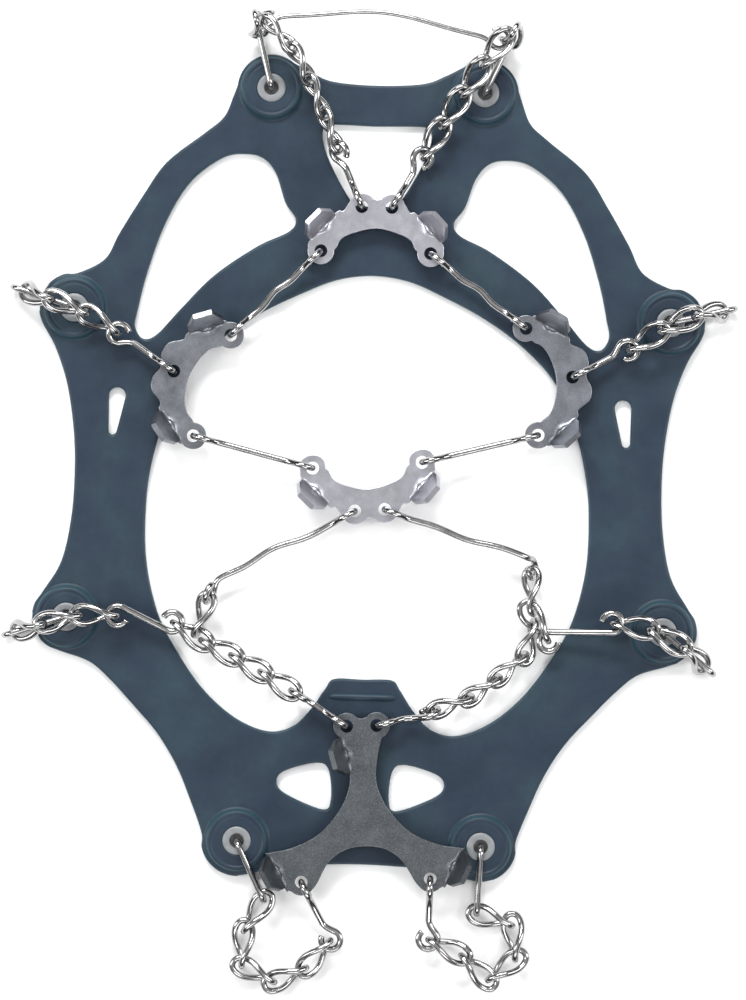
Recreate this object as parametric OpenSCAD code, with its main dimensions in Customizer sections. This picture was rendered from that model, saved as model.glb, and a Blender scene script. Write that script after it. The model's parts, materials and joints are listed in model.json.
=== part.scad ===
// Shoe ice cleats for one boot, laid out flat on the floor with the toe towards +Y.
// A moulded elastomer harness carries eight grommets. A steel link hangs in each grommet,
// and curb chains and bent wires tie the links to five toothed plates.

/* [Harness] */
// Thickness of the elastomer bands
band_t = 3; // [2:0.5:3.5]
// Height of the lug tops above the floor
lug_top = 5.4; // [5:0.1:5.6]
// Radius of the raised lug around each grommet
lug_r = 11; // [9:0.5:11.5]
// Clear height under each lug, for the lower strand of its link
lug_gap = 2.7; // [2.6:0.1:3]
// Outer diameter of a grommet
grommet_d = 10.3; // [9:0.1:11]
// Diameter of the hole through a grommet
grommet_hole_d = 5; // [4.6:0.1:5.4]
// Height of the raised ridge across the heel tab
ridge_h = 1; // [0.5:0.1:1.2]

/* [Plates] */
// Thickness of the steel sheet
plate_t = 2; // [1.5:0.1:2]
// Height of the middle of the sheet above the floor
plate_z = 8; // [7.9:0.1:8.4]
// Diameter of the holes in the plates
hole_d = 4.6; // [4.4:0.1:5]
// Radius of the ear around each hole
ear_r = 4.8; // [4.5:0.1:4.9]
// Width of a tooth at its bend
tooth_w = 13; // [10:0.5:14]
// Length of a tooth from its bend to its tip
tooth_l = 10; // [7:0.5:12]
// Width of a tooth's blunt tip
tooth_tip = 7; // [2:0.5:9]
// Angle through which the teeth are bent up
tooth_bend = 65; // [60:5:85]

/* [Wires and chains] */
// Diameter of the chain and hook wire
wire_d = 2.4; // [2:0.1:2.4]
// Diameter of the toe bar's wire
bar_d = 1.9; // [1.6:0.1:2]
// Radius of the round eyes, to the middle of the wire
eye_r = 3.5; // [3.4:0.1:3.6]
// Half the length of a chain link, to the middle of the wire
link_a = 8.3; // [8.1:0.1:8.4]
// Half the width of a chain link, to the middle of the wire
link_b = 3.65; // [3.6:0.05:3.8]
// Twist of each end of a curb link
link_twist = 45; // [40:5:50]
// Distance from the middle of one wire to the next where two links hang together
link_play = 3.4; // [3:0.1:3.8]

/* [Hidden] */

// Colours
elastomer = "#44586a";
grommet_grey = "#b5b9be";
bright_steel = "#b9bac4";
side_steel = "#8d939b";
dark_steel = "#6b7077";
wire_steel = "#c3c7cb";

// The harness is drawn about its own line of symmetry, then moved to centre the whole part.
centre_shift = [-0.4, 14.3, 0];
wire_r = wire_d / 2;
round_fn = 48;
tube_sides = 6;
link_rings = 20;
eps = 0.01;

// ---- Small helpers -------------------------------------------------------------------------
function unit(v) = v / norm(v);
function power(v, e) = sign(v) * pow(abs(v), e);
function flat(v) = [v[0], v[1]];
function polar(r, a) = r * [cos(a), sin(a)];
function arc(c, r, a0, a1, n) = [for (i = [0 : n]) c + polar(r, a0 + (a1 - a0) * i / n)];
function mirrored(half) = concat(half, [for (i = [len(half) - 2 : -1 : 1]) [-half[i][0], half[i][1]]]);

// A Catmull-Rom curve: the point at t between b and c
function bend(a, b, c, d, t) =
    0.5 * (2 * b + (c - a) * t + (2 * a - 5 * b + 4 * c - d) * t * t
        + (3 * b - a - 3 * c + d) * t * t * t);
function smooth_loop(p, n = 4) =
    let (k = len(p))
    [for (i = [0 : k - 1], j = [0 : n - 1])
        bend(p[(i + k - 1) % k], p[i], p[(i + 1) % k], p[(i + 2) % k], j / n)];

// ---- Bent wire -----------------------------------------------------------------------------
// A ring of points about p, square to t, that starts on the side that n points to
function wire_ring(p, t, n, r) =
    let (u = unit(n - t * (t * n)), v = cross(t, u))
    [for (k = [0 : tube_sides - 1])
        p + r * (cos(360 * k / tube_sides) * u + sin(360 * k / tube_sides) * v)];
function wall_faces(rings, closed) =
    let (m = tube_sides, last = closed ? rings - 1 : rings - 2)
    [for (i = [0 : last], k = [0 : m - 1], h = [0, 1])
        let (a = i * m + k, b = i * m + (k + 1) % m,
            c = ((i + 1) % rings) * m + (k + 1) % m, d = ((i + 1) % rings) * m + k)
        h == 0 ? [a, b, c] : [a, c, d]];

// A closed wire along the loop p, with one side direction in n for each point
module closed_wire(p, n, r = wire_r) {
    k = len(p);
    points = [for (i = [0 : k - 1])
        each wire_ring(p[i], unit(p[(i + 1) % k] - p[(i + k - 1) % k]), n[i], r)];
    polyhedron(points, wall_faces(k, true));
}

// A side direction carried along the tangents t without turning about the wire
function carried(t, n, i = 0) =
    i == len(t) ? [] :
    let (m = unit(n - t[i] * (t[i] * n))) concat([m], carried(t, m, i + 1));

// An open wire along p with square-cut ends
module open_wire(p, n, r = wire_r) {
    k = len(p);
    t = [for (i = [0 : k - 1]) unit(p[min(i + 1, k - 1)] - p[max(i - 1, 0)])];
    side = carried(t, n);
    points = [for (i = [0 : k - 1]) each wire_ring(p[i], t[i], side[i], r)];
    ends = [[for (j = [tube_sides - 1 : -1 : 0]) j],
        [for (j = [0 : tube_sides - 1]) (k - 1) * tube_sides + j]];
    polyhedron(points, concat(wall_faces(k, false), ends));
}

// ---- Chain links ---------------------------------------------------------------------------
// A link is [middle of its near end, its direction, the way across its near end]. A bar is a
// piece of wire that something hangs on: [its middle, its direction, the way out of its loop].

// The middle of a curb link's wire at angle a round the link: along, across and up
function link_point(a) =
    let (x = link_a * power(cos(a), 0.8), y = link_b * power(sin(a), 0.8),
        turn = link_twist * (1 + sin(90 * x / link_a)))
    [x, y * cos(turn), y * sin(turn)];
function on_link(l, q) = l[0] + (q[0] + link_a) * l[1] + q[1] * l[2] + q[2] * cross(l[1], l[2]);

module chain_link(l) {
    angles = [for (i = [0 : link_rings - 1]) 360 * i / link_rings];
    path = [for (a = angles) on_link(l, link_point(a))];
    closed_wire(path, [for (p = path) p - on_link(l, [0, 0, 0])]);
}

// The piece of a link at angle a, as a bar. Angle 0 is the far end.
function link_bar(l, a = 0) =
    let (p = on_link(l, link_point(a)))
    [p, unit(on_link(l, link_point(a - 5)) - on_link(l, link_point(a + 5))), p - on_link(l, [0, 0, 0])];

// The link that hangs on a bar and stands square to it. way is the link's azimuth, its rise and
// its play on the bar.
function next_link(bar, way) =
    let (d = [cos(way[0]) * cos(way[1]), sin(way[0]) * cos(way[1]), sin(way[1])],
        square = unit(d - bar[1] * (bar[1] * d)), out = square * sign(square * bar[2]),
        play = is_undef(way[2]) ? link_play : way[2])
    [bar[0] - play * out, d, unit(cross(bar[1], d))];

// All the links of a chain that hangs on a bar
function chain_links(bar, ways, i = 0) =
    i == len(ways) ? [] :
    let (l = next_link(bar, ways[i])) concat([l], chain_links(link_bar(l), ways, i + 1));
// The far end of a chain
function chain_end(bar, ways) = let (c = chain_links(bar, ways)) link_bar(c[len(c) - 1]);

module chain(bar, ways) {
    placed() color(wire_steel) for (l = chain_links(bar, ways)) chain_link(l);
}

// ---- Eyes and connectors -------------------------------------------------------------------
// An eye is [its middle, the way its shank leaves, the second direction of its plane].
function level(v) = unit([v[0], v[1], 0]);
// An eye round a bar, with its shank towards a point
function bar_eye(bar, to) =
    let (v = to - bar[0], out = unit(v - bar[1] * (bar[1] * v))) [bar[0], out, cross(bar[1], out)];
// An eye through a hole at p, standing upright
function hole_eye(p, to) = let (out = level(to - p)) [p + eye_r * out, out, [0, 0, 1]];

// From the cut end of the wire, round the eye and out to the start of the shank
eye_turns = [-38, -65, -95, -125, -155, -180, -205, -235, -265, -290, -315];
eye_neck = [[1.18, 0.3], [1.75, 0]];
function eye_path(e) =
    [for (q = concat([for (a = eye_turns) polar(1, a)], eye_neck))
        e[0] + eye_r * (q[0] * e[1] + q[1] * e[2])];

// A wire with an eye at each end. swing is how far the shank bends sideways, waves times.
function connector_path(e, f, swing, waves) =
    let (p = eye_path(e), q = eye_path(f), k = len(p) - 1, gap = q[k] - p[k],
        side = unit(cross([0, 0, 1], gap)), steps = swing == 0 ? 2 : 10)
    concat(p,
        [for (i = [1 : steps - 1]) let (t = i / steps)
            p[k] + t * gap + swing * sin(180 * waves * t) * sin(180 * t) * side],
        [for (i = [k : -1 : 0]) q[i]]);
module connector(e, f, swing = 0, waves = 3, r = wire_r) {
    placed() color(wire_steel)
        open_wire(connector_path(e, f, swing, waves), cross(e[1], e[2]), r);
}

// ---- Layout --------------------------------------------------------------------------------
module placed() {
    translate(centre_shift) children();
}

// Middles of the lugs, the way each eyelet link points, and how far it reaches
FL = 0; FR = 1; UL = 2; UR = 3; LL = 4; LR = 5; HL = 6; HR = 7;
lugs = [[-38.5, 134.5], [38.5, 134.5], [-107.5, 53.5], [107.5, 53.5],
    [-107.5, -58], [107.5, -58], [-44, -137], [44, -137]];
link_angle = [104, 66, 163, 14, 198, -38, -64, -92];
link_reach = [24, 24, 24.5, 25, 24.5, 25, 25, 25.4];

// An eyelet link is a long loop standing on edge, through the grommet and round the lug's rim
loop_z = [1.3, 7.1];
loop_mid_z = (loop_z[0] + loop_z[1]) / 2;
loop_r = (loop_z[1] - loop_z[0]) / 2;
loop_inset = loop_r - 0.2;
function loop_outer(i) = link_reach[i] - wire_r - loop_r;
function loop_point(i, s, z) =
    let (p = lugs[i] + polar(s, link_angle[i])) [p[0], p[1], z];
// The upright outer end of an eyelet link, where a chain hangs
function loop_bar(i) =
    let (p = polar(1, link_angle[i]))
    [loop_point(i, loop_outer(i) + loop_r, loop_mid_z), [0, 0, 1], [p[0], p[1], 0]];

// The way that each link of each chain lies
front_left_ways = [[104, 72], [-45, -8], [-60, -20], [-64, -10], [-66, -3]];
front_right_ways = [[64, 74], [-128, -16], [-124, -14], [-122, -8], [-120, -3]];
upper_left_ways = [[-17, 45], [-22, -6], [-30, -12]];
upper_right_ways = [[194, 45], [206, -6], [212, -12]];
lower_left_ways = [[18, 45], [14, -5], [0, -9]];
lower_right_ways = [[142, 45], [154, -5], [172, -7]];
heel_left_ways = [[-122, 3], [-92, 0, 4], [-24, 0], [26, 0, 4], [50, 0]];
heel_right_ways = [[-16, 3, 3], [-84, 2, 4.2], [-142, 0, 4.2], [138, 0], [156, 0]];
stem_left_ways = [[-25, 0, 4.6], [-28, 0, 4.6], [-30, 0, 4.6]];
stem_right_ways = [[-105, 3, 3], [-138, 4, 4], [-144, 0, 4], [-158, 0, 4.4]];

// ---- Harness -------------------------------------------------------------------------------
// Right half of the outer edge, from the toe strap to the heel strap
outer_half = concat(
    [[0, 136.5], [16, 137.5], [24, 140.5]],
    arc(lugs[FR], 12, 120, 30, 4),
    [[52, 132], [55.3, 124], [62, 118], [75.6, 107], [84, 94.5], [92, 81], [97, 71.5]],
    arc(lugs[UR], 12.8, 95, -25, 5),
    [[114, 39], [109.5, 26], [106.8, 10], [106, -5], [106.8, -22], [110, -38]],
    arc(lugs[LR], 12.6, 45, -80, 5),
    [[99, -74], [91.4, -80.2], [82.5, -89.5], [73.6, -99.5], [66.4, -111], [61, -123.5]],
    arc(lugs[HR], 13, 10, -105, 5),
    [[25, -146], [11, -145], [0, -144.7]]);

// Right half of the main opening, from the toe side to the heel tab
main_half = [[0, 67.8], [13, 66], [25.6, 60.8], [40, 53.5], [54, 43.8], [66, 31.5], [73.5, 16],
    [78.5, -3], [80, -19], [79.3, -37], [75, -55], [68, -68.5], [58, -82.5], [46, -92.8],
    [34, -97.5], [25, -95.5], [18.5, -89], [13.6, -81.7], [10.3, -78], [0, -78]];

upper_window = [[46.7, 110.6], [55.5, 109], [67, 99.8], [75.5, 85], [81.4, 67.7], [84.6, 54],
    [85.6, 47.5], [82.5, 43], [77.5, 44.8], [69, 54.4], [57.4, 66.6], [42.2, 77.4], [31, 83],
    [28.6, 87.5], [32.5, 93.5], [36, 103.5], [40.5, 109]];

front_window = [[-17, 122], [0, 121.8], [17, 122], [19.6, 119.5], [18.6, 113], [14.5, 104],
    [9, 95], [6, 93], [-6, 93], [-9, 95], [-14.5, 104], [-18.6, 113], [-19.6, 119.5]];

heel_window = [[30.2, -115.5], [27.3, -111.6], [16, -108.4], [11.5, -111], [10.5, -121.5],
    [13.5, -125.2], [27, -119.8]];

// Buckle slots: a round end tapering to a narrower one
slot_ends = [[91.3, 22.2], [92.7, 9.7]];
slot_radii = [3, 1.5];

module harness_outline() {
    difference() {
        polygon(smooth_loop(mirrored(outer_half)));
        polygon(smooth_loop(mirrored(main_half)));
        polygon(smooth_loop(front_window));
        for (s = [1, -1]) {
            polygon([for (p = smooth_loop(upper_window)) [s * p[0], p[1]]]);
            polygon([for (p = smooth_loop(heel_window)) [s * p[0], p[1]]]);
            for (i = [0, 1])
                translate([s * slot_ends[i][0], slot_ends[i][1]])
                    circle(slot_radii[i], $fn = round_fn);
            polygon([
                [s * (slot_ends[0][0] - slot_radii[0]), slot_ends[0][1] - 0.3],
                [s * (slot_ends[0][0] + slot_radii[0]), slot_ends[0][1] + 0.3],
                [s * (slot_ends[1][0] + slot_radii[1]), slot_ends[1][1] + 0.2],
                [s * (slot_ends[1][0] - slot_radii[1]), slot_ends[1][1] - 0.2]]);
        }
    }
}

module harness() {
    placed() color(elastomer) difference() {
        union() {
            linear_extrude(band_t) harness_outline();
            for (p = lugs)
                translate(p) cylinder(r = lug_r, h = lug_top, $fn = round_fn);
            // Ridge across the heel tab
            translate([-12, -85.5, band_t - eps]) cube([24, 2.4, ridge_h + eps]);
        }
        for (i = [0 : 7])
            translate(lugs[i]) {
                translate([0, 0, -eps])
                    cylinder(d = grommet_d + 0.1, h = lug_top + 2 * eps, $fn = round_fn);
                // Way for the lower strand of the eyelet link
                rotate(link_angle[i]) translate([0, -5, -eps]) cube([20, 10, lug_gap + eps]);
            }
    }
}

module grommet(i) {
    placed() color(grommet_grey) translate([lugs[i][0], lugs[i][1], lug_gap]) difference() {
        cylinder(d = grommet_d, h = lug_top - lug_gap + 0.1, $fn = round_fn);
        translate([0, 0, -eps])
            cylinder(d = grommet_hole_d, h = lug_top, $fn = round_fn);
    }
}

// ---- Eyelet links --------------------------------------------------------------------------
module eyelet_link(i) {
    turns = 6;
    x1 = loop_outer(i);
    path = concat(
        [for (k = [0 : turns]) let (a = -90 + 180 * k / turns)
            [x1 + loop_r * cos(a), loop_mid_z + loop_r * sin(a)]],
        [for (k = [0 : turns]) let (a = 90 + 180 * k / turns)
            [loop_inset + loop_r * cos(a), loop_mid_z + loop_r * sin(a)]]);
    side = [-sin(link_angle[i]), cos(link_angle[i]), 0];
    placed() color(wire_steel)
        closed_wire([for (q = path) loop_point(i, q[0], q[1])], [for (q = path) side]);
}

// ---- Plates --------------------------------------------------------------------------------
// A plate drawn about its own origin: a sheet outline with ears, holes and bent-up teeth
module sheet(outline, ears) {
    translate([0, 0, -plate_t / 2]) difference() {
        linear_extrude(plate_t) union() {
            polygon(outline);
            for (p = ears) translate(p) circle(ear_r, $fn = round_fn);
        }
        for (p = ears)
            translate([p[0], p[1], -1]) cylinder(d = hole_d, h = plate_t + 2, $fn = round_fn);
    }
}

// A tapered tooth whose bend lies on the line from a to b, with the sheet on its left
module tooth(a, b) {
    mid = (a + b) / 2;
    along = atan2(b[1] - a[1], b[0] - a[0]);
    shoulder = 0.35 * tooth_l;
    translate([mid[0], mid[1], 0]) rotate(along) rotate([-tooth_bend, 0, 0])
        translate([0, 0, -plate_t / 2]) linear_extrude(plate_t)
            polygon([[-tooth_w / 2, 1], [-tooth_w / 2, -shoulder], [-tooth_tip / 2, -tooth_l],
                [tooth_tip / 2, -tooth_l], [tooth_w / 2, -shoulder], [tooth_w / 2, 1]]);
}

// Half of the front plate, from the middle of its hollow side round to the notch at the front
front_half = [[0, 8.5], [7.8, 6.8], [12.5, 4.4], [15, 0.5], [22.5, 0], [24, 3.5], [14.8, 13.8],
    [12, 14.6], [9.8, 17.8], [5.5, 20.4], [0, 18.9]];
front_ears = [[-19.7, 0], [19.7, 0], [-5.4, 16.2], [5.4, 16.2]];
module front_sheet() {
    sheet(mirrored(front_half), front_ears);
    tooth([24.3, 3.8], [14.8, 13.8]);
    tooth([-14.8, 13.8], [-24.3, 3.8]);
}

// Half of a side plate, from its hollow side to the notch between its lobes
side_half = [[8.8, 0], [7.6, 7], [5.2, 12], [1.6, 14.6], [-2, 19.3], [2, 22.8], [5, 23],
    [14.4, 15.2], [15.4, 12], [19.8, 9], [21, 4.6], [19.6, 0]];
side_ears = [[0, 19.3], [0, -19.3], [14.6, 0]];
module side_sheet() {
    outline = concat(side_half, [for (i = [len(side_half) - 2 : -1 : 1])
        [side_half[i][0], -side_half[i][1]]]);
    sheet(outline, side_ears);
    tooth([14.4, 15.2], [3.9, 22.9]);
    tooth([3.9, -22.9], [14.4, -15.2]);
}

heel_half = [[0, 58.2], [5.4, 60.2], [9.6, 56.5], [7.3, 51.5], [5.8, 46], [4.7, 38], [5.6, 32],
    [9.4, 24.5], [17, 16.7], [26.5, 12.3], [34.6, 10.8], [35.3, 9.8], [29, -2.4], [27.5, -3],
    [23.2, -4.6], [18.5, -2], [13.5, 6.4], [7.5, 11], [0, 12.3]];
heel_ears = [[-5.4, 55.6], [5.4, 55.6], [-23.2, 0], [23.2, 0]];
module heel_sheet() {
    sheet(mirrored(heel_half), heel_ears);
    translate([0, 0, -plate_t / 2]) linear_extrude(plate_t)
        polygon([[-3, 50.5], [-8, 51.5], [-5, 38.5], [-3, 38]]);
    tooth([29, -2.4], [35.3, 10.2]);
    tooth([-35.3, 10.2], [-29, -2.4]);
    tooth([-8, 51.4], [-5, 38.8]);
}

// Where each plate lies: the place of its own origin, and its turn
FRONT = 0; LEFT = 1; RIGHT = 2; MID = 3; HEEL = 4;
plate_poses = [[0.6, 76, 0], [-57, 26.6, 161], [58, 30.9, 8], [-0.4, -0.6, 184.5],
    [2.9, -149.8, 3]];
plate_ears = [front_ears, side_ears, side_ears, front_ears, heel_ears];
function turned(p, a) = [p[0] * cos(a) - p[1] * sin(a), p[0] * sin(a) + p[1] * cos(a)];
function hole(plate, i) =
    let (q = plate_poses[plate], p = flat(q) + turned(plate_ears[plate][i], q[2]))
    [p[0], p[1], plate_z];

module at_plate(plate) {
    q = plate_poses[plate];
    placed() translate([q[0], q[1], plate_z]) rotate(q[2]) children();
}

// ---- Hooks, wires and the toe bar ----------------------------------------------------------
// A hook between a plate's hole and a bar
module hook(p, bar) {
    connector(hole_eye(p, bar[0]), bar_eye(bar, p));
}
// A long wire between two holes
module long_wire(p, q, swing) {
    connector(hole_eye(p, q), hole_eye(q, p), swing);
}

// A flat S-hook round two upright bars: two open rings joined by a slanting shank
s_turns = [-20, -55, -90, -125, -155, -180, -205, -235, -270, -295];
function s_half(c, d) = [for (a = s_turns) c + eye_r * (cos(a) * d + sin(a) * cross([0, 0, 1], d))];
module s_hook(p, q) {
    d = level(q - p);
    far = s_half(q, -d);
    placed() color(wire_steel)
        open_wire(concat(s_half(p, d), [for (i = [len(far) - 1 : -1 : 0]) far[i]]), [0, 0, 1]);
}

// Ends of the chains
front_left_end = chain_end(loop_bar(FL), front_left_ways);
front_right_end = chain_end(loop_bar(FR), front_right_ways);
upper_left_end = chain_end(loop_bar(UL), upper_left_ways);
upper_right_end = chain_end(loop_bar(UR), upper_right_ways);
lower_left_end = chain_end(loop_bar(LL), lower_left_ways);
lower_right_end = chain_end(loop_bar(LR), lower_right_ways);
heel_left_end = chain_end(loop_bar(HL), heel_left_ways);
heel_right_end = chain_end(loop_bar(HR), heel_right_ways);

// Where the rear chains meet: a junction link hangs in the inner ring of each S-hook. The stem
// and a brace link hang on the junction link.
function ring_bar(c, azimuth) =
    let (d = [cos(azimuth), sin(azimuth), 0]) [c + eye_r * d, cross([0, 0, 1], d), d];
left_ring = [-69, -58.7, 8];
right_ring = [66.4, -62.3, 8];
left_junction = next_link(ring_bar(left_ring, -31), [-31, 0]);
right_junction = next_link(ring_bar(right_ring, 125), [125, 0]);
left_brace = next_link(link_bar(left_junction, 90), [72, 8, 2.8]);
right_brace = next_link(link_bar(right_junction, -70), [92, -10, 2.8]);
left_stem_bar = link_bar(left_junction);
right_stem_bar = link_bar(right_junction, 92);
left_stem_end = chain_end(left_stem_bar, stem_left_ways);
right_stem_end = chain_end(right_stem_bar, stem_right_ways);

// The toe bar: an eye round the front side of the first link of each front chain, bowed to the toe
toe_eye_drop = 0.6;
toe_bar_bow = 5;
function toe_eye(l, a) =
    let (b = link_bar(l, a), e = bar_eye(b, [0, 160, 12])) [e[0] + toe_eye_drop * unit(b[2]), e[1], e[2]];
left_toe_eye = toe_eye(chain_links(loop_bar(FL), front_left_ways)[0], -96);
right_toe_eye = toe_eye(chain_links(loop_bar(FR), front_right_ways)[0], 102);

// ---- Nodes ---------------------------------------------------------------------------------
module front_left_grommet() { grommet(FL); }
module front_right_grommet() { grommet(FR); }
module upper_left_grommet() { grommet(UL); }
module upper_right_grommet() { grommet(UR); }
module lower_left_grommet() { grommet(LL); }
module lower_right_grommet() { grommet(LR); }
module heel_left_grommet() { grommet(HL); }
module heel_right_grommet() { grommet(HR); }

module front_left_eyelet_link() { eyelet_link(FL); }
module front_right_eyelet_link() { eyelet_link(FR); }
module upper_left_eyelet_link() { eyelet_link(UL); }
module upper_right_eyelet_link() { eyelet_link(UR); }
module lower_left_eyelet_link() { eyelet_link(LL); }
module lower_right_eyelet_link() { eyelet_link(LR); }
module heel_left_eyelet_link() { eyelet_link(HL); }
module heel_right_eyelet_link() { eyelet_link(HR); }

module front_plate() { color(bright_steel) at_plate(FRONT) front_sheet(); }
module left_plate() { color(side_steel) at_plate(LEFT) side_sheet(); }
module right_plate() { color(side_steel) at_plate(RIGHT) side_sheet(); }
module mid_plate() { color(bright_steel) at_plate(MID) front_sheet(); }
module heel_plate() { color(dark_steel) at_plate(HEEL) heel_sheet(); }

module toe_bar() { connector(left_toe_eye, right_toe_eye, toe_bar_bow, 1, bar_d / 2); }

module front_left_chain() { chain(loop_bar(FL), front_left_ways); }
module front_right_chain() { chain(loop_bar(FR), front_right_ways); }
module upper_left_chain() { chain(loop_bar(UL), upper_left_ways); }
module upper_right_chain() { chain(loop_bar(UR), upper_right_ways); }
module lower_left_chain() { chain(loop_bar(LL), lower_left_ways); }
module lower_right_chain() { chain(loop_bar(LR), lower_right_ways); }
module stem_left_chain() { chain(left_stem_bar, stem_left_ways); }
module stem_right_chain() { chain(right_stem_bar, stem_right_ways); }
module heel_left_loop_chain() { chain(loop_bar(HL), heel_left_ways); }
module heel_right_loop_chain() { chain(loop_bar(HR), heel_right_ways); }

module lone_link(l) { placed() color(wire_steel) chain_link(l); }
module left_junction_link() { lone_link(left_junction); }
module right_junction_link() { lone_link(right_junction); }
module left_brace_link() { lone_link(left_brace); }
module right_brace_link() { lone_link(right_brace); }

module front_left_hook() { hook(hole(FRONT, 2), front_left_end); }
module front_right_hook() { hook(hole(FRONT, 3), front_right_end); }
module upper_left_hook() { hook(hole(LEFT, 2), upper_left_end); }
module upper_right_hook() { hook(hole(RIGHT, 2), upper_right_end); }
module lower_left_hook() { s_hook(lower_left_end[0], left_ring); }
module lower_right_hook() { s_hook(lower_right_end[0], right_ring); }
module stem_left_hook() { hook(hole(HEEL, 0), left_stem_end); }
module stem_right_hook() { hook(hole(HEEL, 1), right_stem_end); }
module heel_left_hook() { hook(hole(HEEL, 2), heel_left_end); }
module heel_right_hook() { hook(hole(HEEL, 3), heel_right_end); }

module left_toe_wire() { long_wire(hole(FRONT, 0), hole(LEFT, 1), 1); }
module right_toe_wire() { long_wire(hole(FRONT, 1), hole(RIGHT, 0), -1); }
module left_arch_wire() { long_wire(hole(MID, 1), hole(LEFT, 0), 0); }
module right_arch_wire() { long_wire(hole(MID, 0), hole(RIGHT, 1), 0); }
module left_brace_wire() {
    connector(hole_eye(hole(MID, 3), link_bar(left_brace)[0]),
        bar_eye(link_bar(left_brace), hole(MID, 3)), 1.5);
}
module right_brace_wire() {
    connector(hole_eye(hole(MID, 2), link_bar(right_brace)[0]),
        bar_eye(link_bar(right_brace), hole(MID, 2)), 1);
}

harness();
front_left_grommet();
front_right_grommet();
upper_left_grommet();
upper_right_grommet();
lower_left_grommet();
lower_right_grommet();
heel_left_grommet();
heel_right_grommet();
front_left_eyelet_link();
front_right_eyelet_link();
upper_left_eyelet_link();
upper_right_eyelet_link();
lower_left_eyelet_link();
lower_right_eyelet_link();
heel_left_eyelet_link();
heel_right_eyelet_link();
front_plate();
left_plate();
right_plate();
mid_plate();
heel_plate();
toe_bar();
front_left_chain();
front_right_chain();
upper_left_chain();
upper_right_chain();
lower_left_chain();
lower_right_chain();
stem_left_chain();
stem_right_chain();
heel_left_loop_chain();
heel_right_loop_chain();
left_junction_link();
right_junction_link();
left_brace_link();
right_brace_link();
front_left_hook();
front_right_hook();
upper_left_hook();
upper_right_hook();
lower_left_hook();
lower_right_hook();
stem_left_hook();
stem_right_hook();
heel_left_hook();
heel_right_hook();
left_toe_wire();
right_toe_wire();
left_arch_wire();
right_arch_wire();
left_brace_wire();
right_brace_wire();
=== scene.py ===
"""Looks of a shoe ice cleat: a moulded elastomer harness with steel chains, bent wires and toothed
plates, laid out flat on a pale floor with the toe towards +Y.

Lengths below are in millimetres, in the harness's own frame. placed() moves them to the frame of
the whole part and turns them into metres. Angles in the tables are in degrees.
"""

import json
import math

import bmesh
import bpy
import numpy as np
from mathutils import Matrix, Vector


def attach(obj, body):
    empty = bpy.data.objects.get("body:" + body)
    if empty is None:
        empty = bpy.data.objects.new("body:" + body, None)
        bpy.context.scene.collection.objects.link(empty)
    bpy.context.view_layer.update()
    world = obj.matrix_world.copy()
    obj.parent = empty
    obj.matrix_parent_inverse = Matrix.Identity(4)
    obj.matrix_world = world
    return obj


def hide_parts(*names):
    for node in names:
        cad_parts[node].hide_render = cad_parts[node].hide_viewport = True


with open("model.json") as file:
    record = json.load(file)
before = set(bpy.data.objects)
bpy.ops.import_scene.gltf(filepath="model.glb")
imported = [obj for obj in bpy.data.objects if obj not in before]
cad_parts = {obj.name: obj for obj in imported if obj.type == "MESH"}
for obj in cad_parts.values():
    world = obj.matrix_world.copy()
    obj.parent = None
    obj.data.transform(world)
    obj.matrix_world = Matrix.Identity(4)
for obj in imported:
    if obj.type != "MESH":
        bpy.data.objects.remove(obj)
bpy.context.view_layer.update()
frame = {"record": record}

record = frame["record"]
BODY_OF = {n: b for b, nodes in record["behaviour"]["bodies"].items() for n in nodes}
SLOT_OF = {s["node"]: s["material_slot"] for s in record["subparts"]}

MM = 0.001
FLAT_FACE = 0.995  # a face this level is part of a flat top or bottom and is shaded flat
CENTRE_SHIFT = np.array([-0.4, 14.3, 0.0])  # from the harness's frame to the part's frame, in millimetres
UP = np.array([0.0, 0.0, 1.0])


# ---- Small helpers -------------------------------------------------------------------------
def vec(*a):
    return np.array(a, float)


def unit(v):
    v = np.array(v, float)
    return v / np.linalg.norm(v)


def cosd(a):
    return math.cos(math.radians(a))


def sind(a):
    return math.sin(math.radians(a))


def polar(r, a):
    return vec(r * cosd(a), r * sind(a))


def arc(c, r, a0, a1, n):
    return [vec(*c) + polar(r, a0 + (a1 - a0) * i / n) for i in range(n + 1)]


def mirrored(half):
    return list(half) + [vec(-p[0], p[1]) for p in reversed(half[1:-1])]


def bend(a, b, c, d, t):
    """A Catmull-Rom curve: the point at t between b and c."""
    square = 2 * a - 5 * b + 4 * c - d
    cube = 3 * b - a - 3 * c + d
    return 0.5 * (2 * b + (c - a) * t + square * t**2 + cube * t**3)


def smooth_loop(p, n):
    p, k = [np.array(q, float) for q in p], len(p)
    return [bend(p[i - 1], p[i], p[(i + 1) % k], p[(i + 2) % k], j / n) for i in range(k) for j in range(n)]


def smooth_line(p, n):
    p, k = [np.array(q, float) for q in p], len(p)
    out = [
        bend(p[max(i - 1, 0)], p[i], p[i + 1], p[min(i + 2, k - 1)], j / n)
        for i in range(k - 1)
        for j in range(n)
    ]
    return out + [p[-1]]


def placed(p):
    return (np.array(p, float) + CENTRE_SHIFT) * MM


# ---- Materials -----------------------------------------------------------------------------
def new_material(name):
    m = bpy.data.materials.new(name)
    m.use_nodes = True
    return m, m.node_tree.nodes, m.node_tree.links, m.node_tree.nodes["Principled BSDF"]


def noise(nodes, links, coords, scale, detail=4.0, rough=0.5):
    n = nodes.new("ShaderNodeTexNoise")
    n.inputs["Scale"].default_value = scale
    n.inputs["Detail"].default_value = detail
    n.inputs["Roughness"].default_value = rough
    links.new(coords, n.inputs["Vector"])
    return n.outputs["Fac"]


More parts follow.
